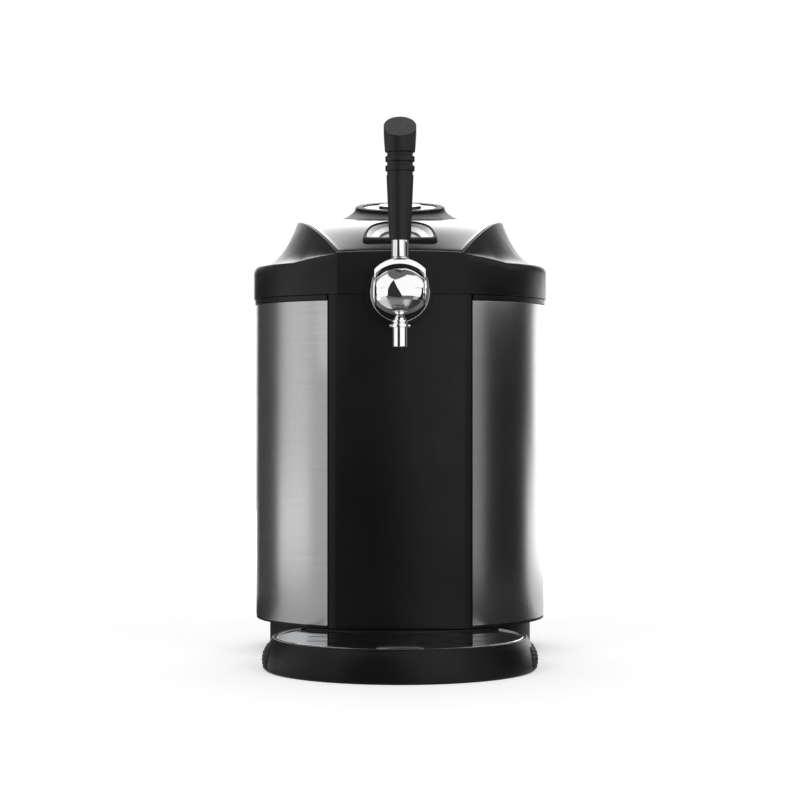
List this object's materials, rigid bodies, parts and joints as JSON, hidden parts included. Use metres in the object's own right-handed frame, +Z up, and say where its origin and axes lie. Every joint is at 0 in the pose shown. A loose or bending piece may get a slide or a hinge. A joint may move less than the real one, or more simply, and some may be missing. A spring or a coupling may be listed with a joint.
{
  "type": "mini keg beer dispenser",
  "caption": "Upright cooled beer dispenser for a small keg: drum body with a hinged lid, lever tap on a flat column, round drip tray with a slotted plate.",
  "frame": {"origin": "on the table, in the middle of the overall outline", "axes": "+Z up; the tap and the drip tray face -Y; +X is to the right of someone who stands in front of the tap"},
  "size_m": [0.2746, 0.4308, 0.4807],
  "materials": {
    "satin_black": "satin",
    "matt_black": "matte",
    "soft_black": "matte",
    "grey_plastic": "matte",
    "board_green": "satin",
    "clear_tube": "gloss",
    "brushed_steel": "satin",
    "mirror_steel": "polished",
    "chrome": "polished",
    "satin_silver": "satin",
    "aluminium": "satin",
    "zinc": "satin",
    "rubber": "matte",
    "ceramic": "matte",
    "foam": "matte"
  },
  "bodies": {
    "dispenser": {"base_chassis": "matt_black", "foot_front_left": "rubber", "foot_front_right": "rubber", "foot_rear_left": "rubber", "foot_rear_right": "rubber", "control_board": "board_green", "chamber_floor": "grey_plastic", "inner_housing": "matt_black", "front_column": "satin_black", "side_panel_left": "brushed_steel", "side_panel_right": "brushed_steel", "trim_band": "satin_black", "rear_cover": "matt_black", "cover_screw_left": "zinc", "cover_screw_right": "zinc", "power_inlet": "matt_black", "switch_frame": "matt_black", "foam_jacket": "foam", "collar_foam": "foam", "keg_liner": "aluminium", "chamber_rim": "grey_plastic", "cold_block": "aluminium", "peltier_module": "ceramic", "heat_sink": "aluminium", "fan_frame": "matt_black", "top_collar": "satin_black", "hinge_bracket": "matt_black", "hinge_pin": "zinc", "tap_escutcheon": "satin_black", "tap_shank": "zinc", "shank_locknut": "zinc", "tap_body": "chrome", "spout": "chrome", "spout_ring": "chrome", "pivot_pin": "zinc", "beer_tube": "clear_tube", "keg_coupler": "matt_black", "gas_regulator": "zinc", "cartridge_sleeve": "matt_black"},
    "lever": {"tap_yoke": "chrome", "lever_stem": "chrome", "tap_handle": "soft_black"},
    "lid": {"lid_shell": "satin_black", "lid_inner_pan": "grey_plastic", "lid_foam": "foam", "lid_seal": "rubber", "scoop_rim": "satin_black", "scoop_dish": "satin_silver", "lid_crown": "satin_black", "crown_plate": "satin_silver", "crown_cap": "satin_black", "hinge_leaf": "matt_black"},
    "tray": {"drip_bowl": "satin_black", "grip_left": "rubber", "grip_right": "rubber"},
    "plate": {"drip_plate": "mirror_steel"},
    "rocker": {"power_rocker": "satin_black"},
    "fan": {"fan_rotor": "matt_black"},
    "knob": {"regulator_knob": "matt_black"}
  },
  "joints": [
    {"name": "tap_lever", "type": "hinge", "parent": "dispenser", "child": "lever", "pos_m": [0, -0.08835, 0.3275], "axis": [1, 0, 0], "range_deg": [0, 40]},
    {"name": "lid_hinge", "type": "hinge", "parent": "dispenser", "child": "lid", "pos_m": [0, 0.18025, 0.40201], "axis": [-1, 0, 0], "range_deg": [0, 100]},
    {"name": "tray_slide", "type": "slide", "parent": "dispenser", "child": "tray", "axis": [0, -1, 0], "range_m": [0, 0.16]},
    {"name": "plate_lift", "type": "slide", "parent": "tray", "child": "plate", "axis": [0, 0, 1], "range_m": [0, 0.05]},
    {"name": "power_switch", "type": "hinge", "parent": "dispenser", "child": "rocker", "pos_m": [0, 0.20785, 0.101], "axis": [-1, 0, 0], "range_deg": [0, 18]},
    {"name": "fan_spin", "type": "hinge", "parent": "dispenser", "child": "fan", "pos_m": [0, 0.18645, 0.187], "axis": [0, 1, 0], "continuous": true},
    {"name": "regulator_turn", "type": "hinge", "parent": "dispenser", "child": "knob", "pos_m": [0.036, 0.05495, 0.32315], "axis": [0, 1, 0], "range_deg": [0, 270]}
  ]
}
